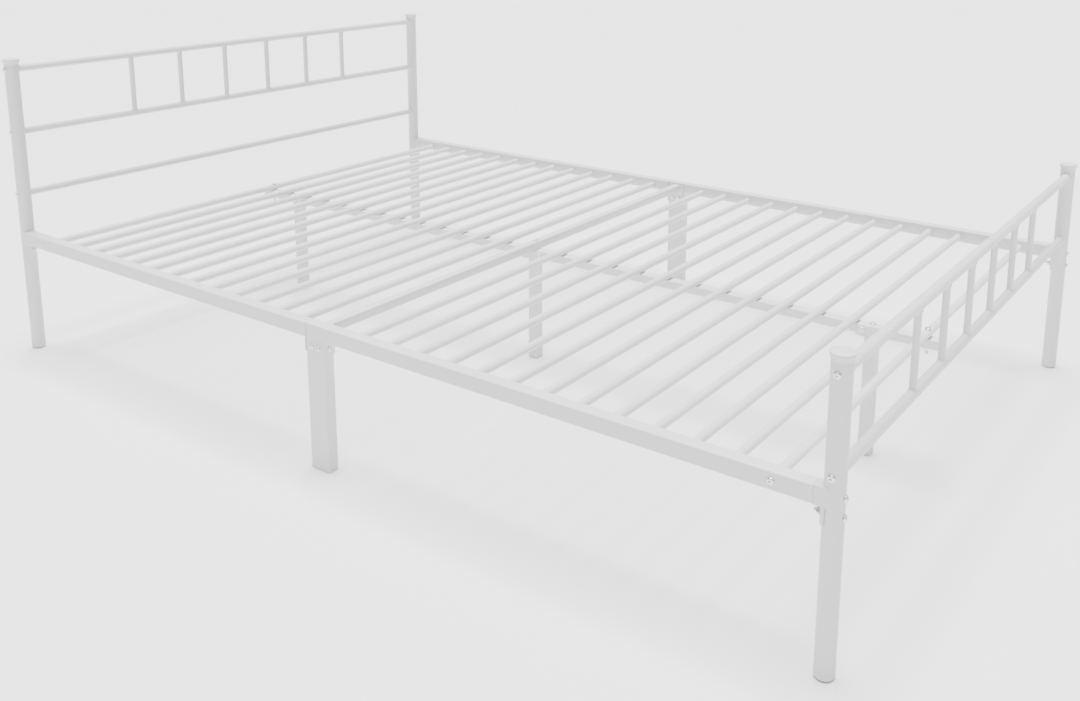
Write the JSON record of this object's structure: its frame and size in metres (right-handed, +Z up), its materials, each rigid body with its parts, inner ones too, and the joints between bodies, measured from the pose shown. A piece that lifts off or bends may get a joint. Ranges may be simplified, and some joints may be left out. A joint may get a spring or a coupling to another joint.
{
  "type": "metal bed frame",
  "caption": "Bolt-together tubular steel bed frame with a railed headboard, a lower footboard, round tube slats, a centre rail and middle support legs.",
  "frame": {"origin": "on the floor, midway between the four corner posts", "axes": "+X runs from the headboard to the footboard, +Y to the left of a person lying on their back with their head at the headboard, +Z up"},
  "size_m": [2.1188, 1.4068, 0.725],
  "materials": {
    "white_powder_coat": "satin powder coat",
    "white_plastic": "satin moulded",
    "zinc_steel": "bright zinc plated"
  },
  "bodies": {
    "root": {"centre_leg_feet": "white_plastic", "centre_leg_saddles": "white_powder_coat", "centre_leg_side_bolts": "zinc_steel", "centre_leg_side_nuts": "zinc_steel", "centre_leg_top_bolts": "zinc_steel", "centre_leg_top_nuts": "zinc_steel", "centre_rail_end_plugs": "white_plastic", "centre_rail_joiner": "white_powder_coat", "corner_bolts": "zinc_steel", "corner_nuts": "zinc_steel", "cross_rail_bolts": "zinc_steel", "cross_rail_end_plates": "white_powder_coat", "cross_rail_nuts": "zinc_steel", "foot_centre_leg": "white_powder_coat", "foot_centre_rail": "white_powder_coat", "foot_slats": "white_powder_coat", "footboard_bottom_rail": "white_powder_coat", "footboard_post_caps": "white_plastic", "footboard_post_feet": "white_plastic", "footboard_rail_bolts": "zinc_steel", "footboard_rail_inserts": "zinc_steel", "footboard_spindles": "white_powder_coat", "footboard_top_rail": "white_powder_coat", "head_centre_leg": "white_powder_coat", "head_centre_rail": "white_powder_coat", "head_slats": "white_powder_coat", "headboard_lower_rail": "white_powder_coat", "headboard_middle_rail": "white_powder_coat", "headboard_post_caps": "white_plastic", "headboard_post_feet": "white_plastic", "headboard_rail_bolts": "zinc_steel", "headboard_rail_inserts": "zinc_steel", "headboard_spindles": "white_powder_coat", "headboard_top_rail": "white_powder_coat", "left_foot_side_rail": "white_powder_coat", "left_footboard_post": "white_powder_coat", "left_head_side_rail": "white_powder_coat", "left_headboard_post": "white_powder_coat", "left_middle_leg": "white_powder_coat", "middle_centre_leg": "white_powder_coat", "middle_cross_rail": "white_powder_coat", "middle_leg_feet": "white_plastic", "middle_leg_top_plugs": "white_plastic", "middle_plate_bolts": "zinc_steel", "middle_plate_nuts": "zinc_steel", "right_foot_side_rail": "white_powder_coat", "right_footboard_post": "white_powder_coat", "right_head_side_rail": "white_powder_coat", "right_headboard_post": "white_powder_coat", "right_middle_leg": "white_powder_coat", "side_rail_end_bolts": "zinc_steel", "side_rail_end_brackets": "white_powder_coat", "side_rail_end_nuts": "zinc_steel", "side_rail_middle_plates": "white_powder_coat", "slat_to_centre_rail_bolts": "zinc_steel", "slat_to_centre_rail_nuts": "zinc_steel"}
  },
  "joints": []
}
